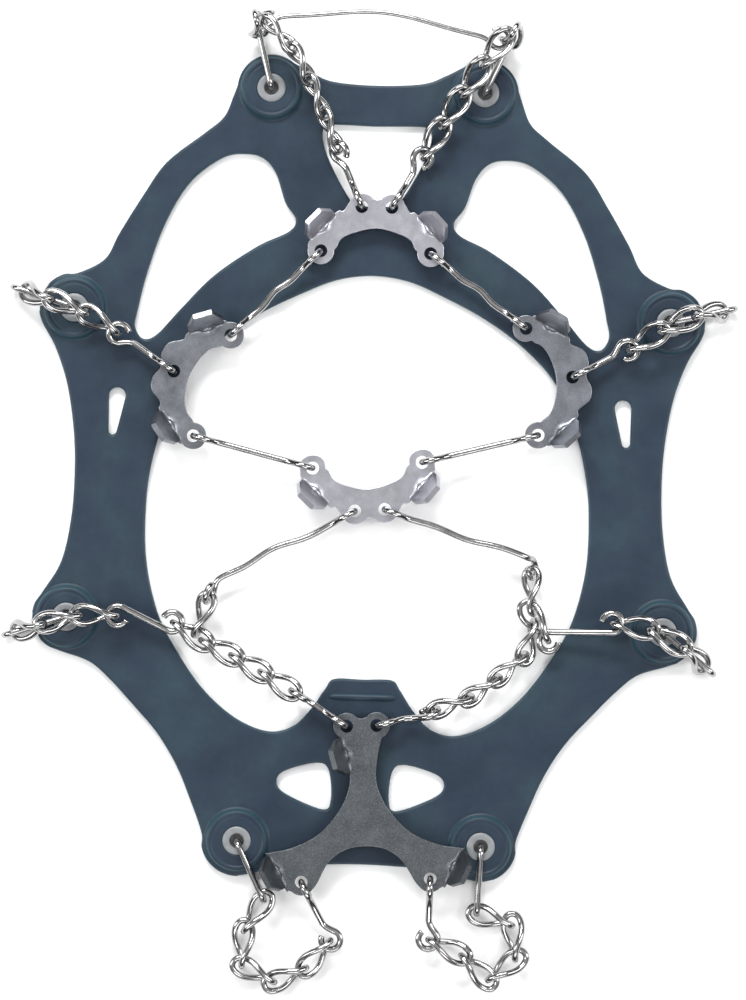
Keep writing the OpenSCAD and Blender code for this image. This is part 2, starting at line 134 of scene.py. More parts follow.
def ramp(nodes, links, fac, stops):
    r = nodes.new("ShaderNodeValToRGB")
    while len(r.color_ramp.elements) < len(stops):
        r.color_ramp.elements.new(0.5)
    for e, (pos, colour) in zip(r.color_ramp.elements, stops):
        e.position = pos
        e.color = (*colour, 1) if len(colour) == 3 else colour
    links.new(fac, r.inputs["Fac"])
    return r.outputs["Color"]


def span(nodes, links, value, low, high):
    r = nodes.new("ShaderNodeMapRange")
    r.inputs["To Min"].default_value = low
    r.inputs["To Max"].default_value = high
    links.new(value, r.inputs["Value"])
    return r.outputs["Result"]


def bump(nodes, links, height, distance, strength, before=None):
    b = nodes.new("ShaderNodeBump")
    b.inputs["Distance"].default_value = distance
    b.inputs["Strength"].default_value = strength
    links.new(height, b.inputs["Height"])
    if before is not None:
        links.new(before, b.inputs["Normal"])
    return b.outputs["Normal"]


def elastomer_material():
    m, nodes, links, shader = new_material("elastomer")
    where = nodes.new("ShaderNodeTexCoord").outputs["Object"]
    blotches = noise(nodes, links, where, 38, 5, 0.62)
    blues = [(0.3, (0.012, 0.022, 0.040)), (0.5, (0.018, 0.032, 0.052)), (0.72, (0.025, 0.050, 0.066))]
    colour = ramp(nodes, links, blotches, blues)
    # Painted light: the rounded edges are thinner, so more light comes through them and they look teal; faces
    # that tilt away from straight up get a lighter teal base colour to stand in for it
    facing = nodes.new("ShaderNodeSeparateXYZ")
    links.new(nodes.new("ShaderNodeNewGeometry").outputs["Normal"], facing.inputs["Vector"])
    painted_edge_glow_mask = ramp(nodes, links, facing.outputs["Z"], [(0.55, (1, 1, 1)), (0.97, (0, 0, 0))])
    painted_edge_glow = nodes.new("ShaderNodeMix")
    painted_edge_glow.data_type = "RGBA"
    links.new(painted_edge_glow_mask, painted_edge_glow.inputs["Factor"])
    links.new(colour, painted_edge_glow.inputs["A"])
    painted_edge_glow.inputs["B"].default_value = (0.025, 0.062, 0.082, 1)
    links.new(painted_edge_glow.outputs["Result"], shader.inputs["Base Color"])
    links.new(span(nodes, links, noise(nodes, links, where, 90, 4), 0.34, 0.56), shader.inputs["Roughness"])
    fine = bump(nodes, links, noise(nodes, links, where, 1400, 3), 0.00008, 0.25)
    wavy = bump(nodes, links, noise(nodes, links, where, 60, 3), 0.0006, 0.22, fine)
    links.new(wavy, shader.inputs["Normal"])
    shader.inputs["Subsurface Weight"].default_value = 0.12
    shader.inputs["Subsurface Radius"].default_value = (0.001, 0.0022, 0.0028)
    shader.inputs["Subsurface Scale"].default_value = 1.0
    shader.inputs["Specular IOR Level"].default_value = 0.28
    return m


def grommet_material():
    m, nodes, links, shader = new_material("grommet_grey")
    where = nodes.new("ShaderNodeTexCoord").outputs["Object"]
    greys = [(0.3, (0.17, 0.18, 0.19)), (0.7, (0.24, 0.25, 0.26))]
    colour = ramp(nodes, links, noise(nodes, links, where, 260, 4), greys)
    links.new(colour, shader.inputs["Base Color"])
    links.new(span(nodes, links, noise(nodes, links, where, 500, 3), 0.35, 0.5), shader.inputs["Roughness"])
    links.new(bump(nodes, links, noise(nodes, links, where, 1800, 3), 0.00005, 0.3), shader.inputs["Normal"])
    return m


def plate_material(name, dark, light, specks, rough):
    """Rolled and tumbled sheet steel: a fine grain, pale specks and a few darker scuffs."""
    m, nodes, links, shader = new_material(name)
    where = nodes.new("ShaderNodeTexCoord").outputs["Object"]
    grain = nodes.new("ShaderNodeMapping")
    grain.inputs["Scale"].default_value = (900, 2600, 900)
    links.new(where, grain.inputs["Vector"])
    streaks = noise(nodes, links, grain.outputs["Vector"], 1.0, 3)
    tone = ramp(nodes, links, noise(nodes, links, where, 130, 5, 0.6), [(0.32, dark), (0.68, light)])
    grit = noise(nodes, links, where, 2600, 2)
    spots = ramp(nodes, links, grit, [(0.42, (0, 0, 0)), (0.66, (specks,) * 3)])
    mix = nodes.new("ShaderNodeMix")
    mix.data_type = "RGBA"
    mix.blend_type = "ADD"
    mix.inputs["Factor"].default_value = 1.0
    links.new(tone, mix.inputs["A"])
    links.new(spots, mix.inputs["B"])
    links.new(mix.outputs["Result"], shader.inputs["Base Color"])
    shader.inputs["Metallic"].default_value = 1.0
    gloss = span(nodes, links, noise(nodes, links, where, 420, 4), rough - 0.07, rough + 0.09)
    links.new(gloss, shader.inputs["Roughness"])
    fine = bump(nodes, links, streaks, 0.00006, 0.35)
    wavy = bump(nodes, links, noise(nodes, links, where, 240, 3), 0.00025, 0.25, fine)
    links.new(wavy, shader.inputs["Normal"])
    return m


def wire_material():
    m, nodes, links, shader = new_material("wire_steel")
    where = nodes.new("ShaderNodeTexCoord").outputs["Object"]
    greys = [(0.3, (0.33, 0.33, 0.335)), (0.7, (0.46, 0.455, 0.45))]
    tone = ramp(nodes, links, noise(nodes, links, where, 300, 4), greys)
    links.new(tone, shader.inputs["Base Color"])
    shader.inputs["Metallic"].default_value = 1.0
    links.new(span(nodes, links, noise(nodes, links, where, 520, 4), 0.12, 0.22), shader.inputs["Roughness"])
    links.new(bump(nodes, links, noise(nodes, links, where, 500, 2), 0.0001, 0.12), shader.inputs["Normal"])
    return m


def floor_material():
    m, nodes, links, shader = new_material("floor")
    where = nodes.new("ShaderNodeTexCoord").outputs["Object"]
    whites = [(0.0, (0.93, 0.93, 0.93)), (1.0, (0.95, 0.95, 0.95))]
    colour = ramp(nodes, links, noise(nodes, links, where, 3), whites)
    links.new(colour, shader.inputs["Base Color"])
    shader.inputs["Roughness"].default_value = 0.9
    shader.inputs["Specular IOR Level"].default_value = 0.1
    return m


MATERIALS = {
    "elastomer": elastomer_material(),
    "grommet": grommet_material(),
    # The three plate finishes are one steel with base colours set lighter or darker per plate: painted light
    # and shade, standing in for how brightly the lights reflect off each plate
    "plate_bright": plate_material("plate_bright", (0.40, 0.40, 0.44), (0.52, 0.52, 0.57), 0.05, 0.36),
    "plate_side": plate_material("plate_side", (0.16, 0.17, 0.19), (0.265, 0.28, 0.31), 0.05, 0.38),
    "plate_dark": plate_material("plate_dark", (0.085, 0.095, 0.105), (0.125, 0.137, 0.15), 0.07, 0.42),
    "wire_steel": wire_material(),
}


# ---- Pieces --------------------------------------------------------------------------------
def piece(name, node, mesh, smooth_angle=None):
    """A mesh that stands for a CAD node: it rides on the node's body and takes its finish."""
    obj = bpy.data.objects.new(name, mesh)
    bpy.context.scene.collection.objects.link(obj)
    mesh.materials.clear()
    mesh.materials.append(MATERIALS[SLOT_OF[node]])
    if smooth_angle is not None:
        mesh.set_sharp_from_angle(angle=math.radians(smooth_angle))
    for p in mesh.polygons:
        p.use_smooth = abs(p.normal.z) < FLAT_FACE
    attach(obj, BODY_OF[node])
    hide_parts(node)
    return obj


def mesh_from(name, verts, faces):
    mesh = bpy.data.meshes.new(name)
    mesh.from_pydata([tuple(v) for v in verts], [], faces)
    mesh.validate()
    mesh.update()
    return mesh


# ---- Round wire ----------------------------------------------------------------------------
TUBE_SIDES = 16
WIRE_R = 1.2
LINK_R = 1.15  # closed links are drawn a little thin, so that they clear each other in every pose
BAR_R = 0.95


def carried(tangents, normal):
    """A side direction carried along the tangents without turning about the wire."""
    out = []
    for t in tangents:
        normal = unit(normal - t * (t @ normal))
        out.append(normal)
    return out


def tube(path, radius, closed, normal=(0.2, 0.1, 1)):
    """Points and faces of a round wire along path, in the harness's frame."""
    path = [np.array(p, float) for p in path]
    k = len(path)
    if closed:
        t = [unit(path[(i + 1) % k] - path[i - 1]) for i in range(k)]
        side = carried(t, np.array(normal, float))
        # Spread the turn that is left over at the seam along the whole loop
        end = unit(side[-1] - t[0] * (t[0] @ side[-1]))
        extra = math.atan2(np.cross(end, side[0]) @ t[0], end @ side[0])
        side = [
            math.cos(extra * i / k) * s + math.sin(extra * i / k) * np.cross(u, s)
            for i, (s, u) in enumerate(zip(side, t))
        ]
        radii = [radius] * k
    else:
        chamfer = 0.25
        first, last = unit(path[1] - path[0]), unit(path[-1] - path[-2])
        path = [path[0], path[0] + chamfer * first] + path[1:-1] + [path[-1] - chamfer * last, path[-1]]
        k = len(path)
        t = [unit(path[min(i + 1, k - 1)] - path[max(i - 1, 0)]) for i in range(k)]
        side = carried(t, np.array(normal, float))
        radii = [radius - chamfer] + [radius] * (k - 2) + [radius - chamfer]
    verts, faces = [], []
    for p, u, s, r in zip(path, t, side, radii):
        v = np.cross(u, s)
        for j in range(TUBE_SIDES):
            a = 2 * math.pi * j / TUBE_SIDES
            verts.append(p + r * (math.cos(a) * s + math.sin(a) * v))
    for i in range(k if closed else k - 1):
        for j in range(TUBE_SIDES):
            a, b = i * TUBE_SIDES + j, i * TUBE_SIDES + (j + 1) % TUBE_SIDES
            c, d = ((i + 1) % k) * TUBE_SIDES + (j + 1) % TUBE_SIDES, ((i + 1) % k) * TUBE_SIDES + j
            faces.append((a, b, c, d))
    if not closed:
        faces.append(tuple(range(TUBE_SIDES - 1, -1, -1)))
        faces.append(tuple((k - 1) * TUBE_SIDES + j for j in range(TUBE_SIDES)))
    return verts, faces


def wires(name, node, tubes):
    verts, faces = [], []
    for v, f in tubes:
        base = len(verts)
        verts += [placed(p) for p in v]
        faces += [tuple(base + i for i in g) for g in f]
    return piece(name, node, mesh_from(name, verts, faces), 50)


# ---- Chain links ---------------------------------------------------------------------------
LINK_A, LINK_B = 8.3, 3.65  # half the length and half the width of a link, to the wire's middle
LINK_TWIST = 45  # half of the turn between a link's two ends
LINK_PLAY = 3.4  # usual distance between the middles of two wires that hang in each other
LINK_POINTS = 56
LINK_POWER = 0.8  # below 1 makes a link's oval squarer than an ellipse


def power(v, e):
    return math.copysign(abs(v) ** e, v)


def link_point(a):
    x, y = LINK_A * power(cosd(a), LINK_POWER), LINK_B * power(sind(a), LINK_POWER)
    turn = LINK_TWIST * (1 + sind(90 * x / LINK_A))
    return vec(x, y * cosd(turn), y * sind(turn))


def on_link(link, q):
    near, d, across = link
    return near + (q[0] + LINK_A) * d + q[1] * across + q[2] * np.cross(d, across)


def link_tube(link):
    path = [on_link(link, link_point(360 * (i + 0.5) / LINK_POINTS)) for i in range(LINK_POINTS)]
    return tube(path, LINK_R, True, path[0] - on_link(link, (0, 0, 0)))


def link_bar(link, a=0):
    """The wire of a link at angle a: its place, its direction and the way out from the link's middle."""
    step = 5
    p = on_link(link, link_point(a))
    along = unit(on_link(link, link_point(a - step)) - on_link(link, link_point(a + step)))
    return p, along, p - on_link(link, (0, 0, 0))


def next_link(bar, way):
    """The link that hangs square on a bar: azimuth, rise and, where given, play on the bar."""
    d = vec(cosd(way[0]) * cosd(way[1]), sind(way[0]) * cosd(way[1]), sind(way[1]))
    square = unit(d - bar[1] * (bar[1] @ d))
    out = square * np.sign(square @ bar[2])
    play = way[2] if len(way) > 2 else LINK_PLAY
    return bar[0] - play * out, d, unit(np.cross(bar[1], d))


def chain_links(bar, ways):
    links = []
    for way in ways:
        links.append(next_link(bar, way))
        bar = link_bar(links[-1])
    return links


# ---- Eyes and connectors -------------------------------------------------------------------
EYE_R = 3.5
EYE_START, EYE_SWEEP, EYE_STEPS = -38, -277, 24
EYE_TURNS = [EYE_START + EYE_SWEEP * i / EYE_STEPS for i in range(EYE_STEPS + 1)]
EYE_NECK = [(1.18, 0.3), (1.75, 0)]  # from the eye to the shank, in eye radii


def level(v):
    return unit([v[0], v[1], 0])


def bar_eye(bar, to):
    v = np.array(to, float) - bar[0]
    out = unit(v - bar[1] * (bar[1] @ v))
    return bar[0], out, np.cross(bar[1], out)


def hole_eye(p, to):
    out = level(np.array(to, float) - p)
    return p + EYE_R * out, out, UP


def eye_path(eye):
    c, out, up = eye
    turns = [(cosd(a), sind(a)) for a in EYE_TURNS]
    neck = smooth_line([turns[-2], turns[-1], *EYE_NECK], 5)[6:]  # what follows the last turn
    return [c + EYE_R * (q[0] * out + q[1] * up) for q in turns + [tuple(n) for n in neck]]


def connector(e, f, swing=0.0, waves=3, radius=WIRE_R):
    p, q = eye_path(e), eye_path(f)
    gap = q[-1] - p[-1]
    side = unit(np.cross(UP, gap))
    steps, rounds = 30, 14  # points along the shank and rounds of smoothing where it meets the eyes
    shank = [
        p[-1] + i / steps * gap + swing * sind(180 * waves * i / steps) * sind(180 * i / steps) * side
        for i in range(1, steps)
    ]
    path = p + shank + q[::-1]
    fixed = len(EYE_TURNS)
    for _ in range(rounds):
        path = (
            path[:fixed]
            + [(path[i - 1] + 2 * path[i] + path[i + 1]) / 4 for i in range(fixed, len(path) - fixed)]
            + path[-fixed:]
        )
    return tube(path, radius, False, np.cross(e[1], e[2]))


# ---- Layout --------------------------------------------------------------------------------
NAMES = [row + "_" + side for row in ("front", "upper", "lower", "heel") for side in ("left", "right")]
RIGHT_LUGS = [(38.5, 134.5), (107.5, 53.5), (107.5, -58), (44, -137)]
LUGS = [(side * x, y) for x, y in RIGHT_LUGS for side in (-1, 1)]
LINK_ANGLE = [104, 66, 163, 14, 198, -38, -64, -92]
LINK_REACH = [24, 24, 24.5, 25, 24.5, 25, 25, 25.4]
LOOP_Z = (1.3, 7.1)
LOOP_MID_Z = sum(LOOP_Z) / 2
LOOP_R = (LOOP_Z[1] - LOOP_Z[0]) / 2
LOOP_INSET = LOOP_R - 0.2

WAYS = {
    "front_left": [(104, 72), (-45, -8), (-60, -20), (-64, -10), (-66, -3)],
    "front_right": [(64, 74), (-128, -16), (-124, -14), (-122, -8), (-120, -3)],
    "upper_left": [(-17, 45), (-22, -6), (-30, -12)],
    "upper_right": [(194, 45), (206, -6), (212, -12)],
    "lower_left": [(18, 45), (14, -5), (0, -9)],
    "lower_right": [(142, 45), (154, -5), (172, -7)],
    "heel_left": [(-122, 3), (-92, 0, 4), (-24, 0), (26, 0, 4), (50, 0)],
    "heel_right": [(-16, 3, 3), (-84, 2, 4.2), (-142, 0, 4.2), (138, 0), (156, 0)],
    "stem_left": [(-25, 0, 4.6), (-28, 0, 4.6), (-30, 0, 4.6)],
    "stem_right": [(-105, 3, 3), (-138, 4, 4), (-144, 0, 4), (-158, 0, 4.4)],
}


def loop_outer(i):
    return LINK_REACH[i] - WIRE_R - LOOP_R


def loop_point(i, s, z):
    p = vec(*LUGS[i]) + polar(s, LINK_ANGLE[i])
    return vec(p[0], p[1], z)


def loop_bar(i):
    return loop_point(i, loop_outer(i) + LOOP_R, LOOP_MID_Z), UP, vec(*polar(1, LINK_ANGLE[i]), 0)


def eyelet_loop(i):
    turns, steps = 16, 8  # points round each end and along each side
    ends = [(loop_outer(i), -90), (LOOP_INSET, 90)]
    path = []
    for n, (x, a0) in enumerate(ends):
        angles = [a0 + 180 * k / turns for k in range(turns + 1)]
        path += [(x + LOOP_R * cosd(a), LOOP_MID_Z + LOOP_R * sind(a)) for a in angles]
        here, there = path[-1], (ends[1 - n][0], LOOP_Z[0] if n else LOOP_Z[1])
        path += [tuple(np.array(here) + (np.array(there) - here) * k / steps) for k in range(1, steps)]
    side = vec(-sind(LINK_ANGLE[i]), cosd(LINK_ANGLE[i]), 0)
    return tube([loop_point(i, s, z) for s, z in path], LINK_R, True, side)


for i, name in enumerate(NAMES):
    wires(name + "_eyelet_wire", name + "_eyelet_link", [eyelet_loop(i)])

CHAINS = {name: chain_links(loop_bar(i), WAYS[name]) for i, name in enumerate(NAMES)}

# ---- Plates: outlines, ears and teeth ------------------------------------------------------
PLATE_Z = 8  # height of the middle of the sheet above the floor
PLATE_T, PLATE_EDGE_R, HOLE_R, EAR_R = 2.0, 0.25, 2.3, 4.8
TOOTH_W, TOOTH_L, TOOTH_BEND, TIP_HALF = 13.0, 10.0, 65, 3.5

# One half of each outline, round from the hollow side; the other half mirrors it
FRONT_HALF = [
    (0, 8.5), (7.8, 6.8), (12.5, 4.4), (15, 0.5), (22.5, 0), (24, 3.5), (14.8, 13.8), (12, 14.6), (9.8, 17.8),
    (5.5, 20.4), (0, 18.9)]
FRONT_EARS = [(-19.7, 0), (19.7, 0), (-5.4, 16.2), (5.4, 16.2)]
FRONT_TEETH = [((24.3, 3.8), (14.8, 13.8)), ((-14.8, 13.8), (-24.3, 3.8))]
SIDE_HALF = [
    (8.8, 0), (7.6, 7), (5.2, 12), (1.6, 14.6), (-2, 19.3), (2, 22.8), (5, 23), (14.4, 15.2), (15.4, 12),
    (19.8, 9), (21, 4.6), (19.6, 0)]
SIDE_EARS = [(0, 19.3), (0, -19.3), (14.6, 0)]
SIDE_TEETH = [((14.4, 15.2), (3.9, 22.9)), ((3.9, -22.9), (14.4, -15.2))]
HEEL_HALF = [
    (0, 58.2), (5.4, 60.2), (9.6, 56.5), (7.3, 51.5), (5.8, 46), (4.7, 38), (5.6, 32), (9.4, 24.5), (17, 16.7),
    (26.5, 12.3), (34.6, 10.8), (35.3, 9.8), (29, -2.4), (27.5, -3), (23.2, -4.6), (18.5, -2), (13.5, 6.4),
    (7.5, 11), (0, 12.3)]
HEEL_EARS = [(-5.4, 55.6), (5.4, 55.6), (-23.2, 0), (23.2, 0)]
HEEL_TEETH = [((29, -2.4), (35.3, 10.2)), ((-35.3, 10.2), (-29, -2.4)), ((-8, 51.4), (-5, 38.8))]
PLATES = {
    "front_plate": ((0.6, 76, 0), FRONT_HALF, FRONT_EARS, FRONT_TEETH, "x"),
    "left_plate": ((-57, 26.6, 161), SIDE_HALF, SIDE_EARS, SIDE_TEETH, "y"),
    "right_plate": ((58, 30.9, 8), SIDE_HALF, SIDE_EARS, SIDE_TEETH, "y"),
    "mid_plate": ((-0.4, -0.6, 184.5), FRONT_HALF, FRONT_EARS, FRONT_TEETH, "x"),
    "heel_plate": ((2.9, -149.8, 3), HEEL_HALF, HEEL_EARS, HEEL_TEETH, "x"),
}


def turned(p, a):
    return vec(p[0] * cosd(a) - p[1] * sind(a), p[0] * sind(a) + p[1] * cosd(a))


def hole(plate, i):
    (x, y, a), _, ears = PLATES[plate][:3]
    p = vec(x, y) + turned(ears[i], a)
    return vec(p[0], p[1], PLATE_Z)


def filled_shape(name, loops, thickness, edge, z_mid):
    """A flat solid with rounded edges from an outer loop and the loops of its holes."""
    curve = bpy.data.curves.new(name, "CURVE")
    curve.dimensions = "2D"
    curve.fill_mode = "BOTH"
    curve.extrude = (thickness / 2 - edge) * MM
    curve.bevel_depth = edge * MM
    curve.bevel_resolution = 3
    curve.offset = -edge * MM
    for loop in loops:
        s = curve.splines.new("POLY")
        s.points.add(len(loop) - 1)
        for pt, q in zip(s.points, loop):
            pt.co = (q[0] * MM, q[1] * MM, 0, 1)
        s.use_cyclic_u = True
    obj = bpy.data.objects.new(name, curve)
    bpy.context.scene.collection.objects.link(obj)
    bpy.context.view_layer.update()
    mesh = bpy.data.meshes.new_from_object(obj.evaluated_get(bpy.context.evaluated_depsgraph_get()))
    bpy.data.objects.remove(obj)
    bpy.data.curves.remove(curve)
    bm = bmesh.new()
    bm.from_mesh(mesh)
    bmesh.ops.remove_doubles(bm, verts=bm.verts, dist=0.00001)
    bmesh.ops.translate(bm, verts=bm.verts, vec=(0, 0, z_mid * MM))
    bmesh.ops.recalc_face_normals(bm, faces=bm.faces)
    bm.to_mesh(mesh)
    bm.free()
    mesh.name = name
    return mesh


def circle(c, r, n=40):
    return [vec(*c) + polar(r, 360 * i / n) for i in range(n)]


def tooth_mesh(bm, a, b):
    """A tooth bent up along the line from a to b, with the sheet on its left: a rounded bend with a
    pressed gusset in its middle, straight shoulders and a blunt tip."""
    a, b = vec(*a), vec(*b)
    mid, along = (a + b) / 2, unit(b - a)
    out = vec(along[1], -along[0])
    bend_r = 2.6  # radius of the bend, at the middle of the sheet
    lead = bend_r * math.tan(math.radians(TOOTH_BEND / 2))
    arc_len = bend_r * math.radians(TOOTH_BEND)
    root, rise = 1.6, TOOTH_L - lead  # lengths of sheet before and after the bend
    gusset_rise, gusset_half_width, gusset_half_length = 1.35, 0.3, 2.0
    edge_r, edge_from = 0.22, 0.86  # the long edges are eased over the last part of the half-width
    total = root + arc_len + rise
    shoulder = 0.35 * TOOTH_L - lead  # full width up to here, then the taper to the tip
    nu, nv = 16, 30
    verts = {}
    for face in (0, 1):
        for j in range(nv + 1):
            s = total * j / nv
            if s < root:
                y, z, dy, dz = s - root - lead, 0.0, 1.0, 0.0
            elif s < root + arc_len:
                t = (s - root) / bend_r
                y, z = -lead + bend_r * math.sin(t), bend_r * (1 - math.cos(t))
                dy, dz = math.cos(t), math.sin(t)
            else:
                t = math.radians(TOOTH_BEND)
                u = s - root - arc_len
                y = -lead + bend_r * math.sin(t) + u * math.cos(t)
                z = bend_r * (1 - math.cos(t)) + u * math.sin(t)
                dy, dz = math.cos(t), math.sin(t)
            past = s - root - arc_len - shoulder
            taper = min(1.0, max(0.0, past) / (rise - shoulder))
            half = TOOTH_W / 2 + (TIP_HALF - TOOTH_W / 2) * taper
            for i in range(nu + 1):
                w = 2 * i / nu - 1
                edge = edge_r * max(0.0, abs(w) - edge_from) / (1 - edge_from)
                thick = (PLATE_T / 2 - edge) * (1 if face else -1)
                along_bend = (s - root - arc_len * 0.55) / gusset_half_length
                gusset = gusset_rise * math.exp(-((w / gusset_half_width) ** 2) - along_bend**2)
                ny, nz = -dz, dy
                p = mid + along * (w * half) + out * (y + ny * (thick + gusset))
                verts[face, j, i] = bm.verts.new((p[0] * MM, p[1] * MM, (z + nz * (thick + gusset)) * MM))
    for j in range(nv):
        for i in range(nu):
            for face in (0, 1):
                q = [verts[face, m, n] for m, n in ((j, i), (j, i + 1), (j + 1, i + 1), (j + 1, i))]
                bm.faces.new(q if face else q[::-1])
        for i in (0, nu):
            q = [verts[0, j, i], verts[0, j + 1, i], verts[1, j + 1, i], verts[1, j, i]]
            bm.faces.new(q if i else q[::-1])
    for j in (0, nv):
        for i in range(nu):
            q = [verts[0, j, i], verts[1, j, i], verts[1, j, i + 1], verts[0, j, i + 1]]
            bm.faces.new(q if j else q[::-1])


def full_outline(half, axis):
    """The drawn half of an outline and its mirror image, across the Y axis or the X axis."""
    half = [vec(*p) for p in half]
    if axis == "x":
        return mirrored(half)
    return half + [vec(p[0], -p[1]) for p in reversed(half[1:-1])]


def sheet_mesh(node, half, ears, axis):
    """A plate's sheet and the round ears that overlap it, with no holes yet."""
    outlines = [smooth_loop(full_outline(half, axis), 5)] + [circle(e, EAR_R, 56) for e in ears]
    bm = bmesh.new()
    for k, outline in enumerate(outlines):
        bm.from_mesh(filled_shape(f"{node}_part_{k}", [outline], PLATE_T, PLATE_EDGE_R, 0))
    mesh = bpy.data.meshes.new(node + "_sheet")
    bm.to_mesh(mesh)
    bm.free()
    return mesh


def boolean(target, other, operation):
    """Combines two mesh objects exactly and leaves the result in the first."""
    mod = target.modifiers.new("cut", "BOOLEAN")
    mod.operation = operation
    mod.solver = "EXACT"
    mod.use_self = True
    mod.object = other
    bpy.context.view_layer.update()
    result = bpy.data.meshes.new_from_object(target.evaluated_get(bpy.context.evaluated_depsgraph_get()))
    target.modifiers.clear()
    target.data = result
    bpy.data.objects.remove(other)


def loose(name, mesh):
    obj = bpy.data.objects.new(name, mesh)
    bpy.context.scene.collection.objects.link(obj)
    return obj


def rods(name, centres, r, z0, z1):
    """Upright rods, as one mesh to cut holes with."""
    bm = bmesh.new()
    for c in centres:
        ring = circle(c, r)
        low = [bm.verts.new((p[0] * MM, p[1] * MM, z0 * MM)) for p in ring]
        top = [bm.verts.new((p[0] * MM, p[1] * MM, z1 * MM)) for p in ring]
        bm.faces.new(low[::-1])
        bm.faces.new(top)
        for i in range(len(ring)):
            j = (i + 1) % len(ring)
            bm.faces.new((low[i], low[j], top[j], top[i]))
    mesh = bpy.data.meshes.new(name)
    bm.to_mesh(mesh)
    bm.free()
    return loose(name, mesh)


def mesh_alone(obj, name):
    mesh = obj.data
    bpy.data.objects.remove(obj)
    mesh.name = name
    return mesh


for node in PLATES:
    (px, py, turn), half, ears, teeth, axis = PLATES[node]
    body = loose(node + "_work", sheet_mesh(node, half, ears, axis))
    boolean(body, rods(node + "_holes", ears, HOLE_R, -PLATE_T, PLATE_T), "DIFFERENCE")
    mesh = mesh_alone(body, node + "_steel")
    bm = bmesh.new()
    bm.from_mesh(mesh)
    for a, b in teeth:
        tooth_mesh(bm, a, b)
    move = Matrix.Translation(Vector(placed((px, py, PLATE_Z)))) @ Matrix.Rotation(math.radians(turn), 4, "Z")
    bmesh.ops.transform(bm, matrix=move, verts=bm.verts)
    bm.to_mesh(mesh)
    bm.free()
    piece(node + "_steel", node, mesh, 32)

# ---- Chains, hooks and long wires ----------------------------------------------------------
S_START, S_SWEEP = -20, -275
S_TURNS = [S_START + S_SWEEP * i / EYE_STEPS for i in range(EYE_STEPS + 1)]


def s_half(c, d):
    return [c + EYE_R * (cosd(a) * d + sind(a) * np.cross(UP, d)) for a in S_TURNS]


def s_hook(p, q):
    d = level(q - p)
    one, two = s_half(p, d), s_half(q, -d)[::-1]
    middle = smooth_line([one[-2], one[-1], two[0], two[1]], 8)[9:16]  # what lies between the halves
    return tube(one + middle + two, WIRE_R, False, UP)


def ring_bar(c, azimuth):
    d = vec(cosd(azimuth), sind(azimuth), 0)
    return c + EYE_R * d, np.cross(UP, d), d


LEFT_RING, RIGHT_RING = vec(-69, -58.7, 8), vec(66.4, -62.3, 8)
junction = {
    "left": next_link(ring_bar(LEFT_RING, -31), (-31, 0)),
    "right": next_link(ring_bar(RIGHT_RING, 125), (125, 0)),
}
brace = {
    "left": next_link(link_bar(junction["left"], 90), (72, 8, 2.8)),
    "right": next_link(link_bar(junction["right"], -70), (92, -10, 2.8)),
}
CHAINS["stem_left"] = chain_links(link_bar(junction["left"]), WAYS["stem_left"])
CHAINS["stem_right"] = chain_links(link_bar(junction["right"], 92), WAYS["stem_right"])

for name, links in CHAINS.items():
    node = name + ("_loop_chain" if name.startswith("heel") else "_chain")
    wires(node + "_links", node, [link_tube(l) for l in links])
for side in ("left", "right"):
    wires(side + "_junction_wire", side + "_junction_link", [link_tube(junction[side])])
    wires(side + "_brace_wire_link", side + "_brace_link", [link_tube(brace[side])])

HOOKS = {
    "front_left": ("front_plate", 2), "front_right": ("front_plate", 3),
    "upper_left": ("left_plate", 2), "upper_right": ("right_plate", 2),
    "stem_left": ("heel_plate", 0), "stem_right": ("heel_plate", 1),
    "heel_left": ("heel_plate", 2), "heel_right": ("heel_plate", 3),
}
for name, (plate_node, i) in HOOKS.items():
    p, bar = hole(plate_node, i), link_bar(CHAINS[name][-1])
    wires(name + "_hook_wire", name + "_hook", [connector(hole_eye(p, bar[0]), bar_eye(bar, p))])
for name, ring in (("lower_left", LEFT_RING), ("lower_right", RIGHT_RING)):
    wires(name + "_s_hook", name + "_hook", [s_hook(link_bar(CHAINS[name][-1])[0], ring)])

LONG_WIRES = {
    "left_toe_wire": (("front_plate", 0), ("left_plate", 1), 1),
    "right_toe_wire": (("front_plate", 1), ("right_plate", 0), -1),
    "left_arch_wire": (("mid_plate", 1), ("left_plate", 0), 0),
    "right_arch_wire": (("mid_plate", 0), ("right_plate", 1), 0),
}
for node, (a, b, swing) in LONG_WIRES.items():
    p, q = hole(*a), hole(*b)
    wires(node + "_steel", node, [connector(hole_eye(p, q), hole_eye(q, p), swing)])
for side, i, swing in (("left", 3, 1.5), ("right", 2, 1)):
    p, bar = hole("mid_plate", i), link_bar(brace[side])
    wire = connector(hole_eye(p, bar[0]), bar_eye(bar, p), swing)
    wires(side + "_brace_steel", side + "_brace_wire", [wire])

TOE_EYE_DROP = 0.6
TOE_BAR_BOW = 5
TOE_EYE_AIM = (0, 160, 12)  # where both eyes of the bar face


def toe_eye(link, a):
    bar = link_bar(link, a)
    c, out, up = bar_eye(bar, TOE_EYE_AIM)
    return c + TOE_EYE_DROP * unit(bar[2]), out, up


toe_eyes = toe_eye(CHAINS["front_left"][0], -96), toe_eye(CHAINS["front_right"][0], 102)
wires("toe_bar_steel", "toe_bar", [connector(*toe_eyes, TOE_BAR_BOW, 1, BAR_R)])

# ---- Harness -------------------------------------------------------------------------------
BAND_T, BAND_EDGE_R = 3.0, 0.9
LUG_HOLE_R, LUG_GAP = 5.2, 2.7
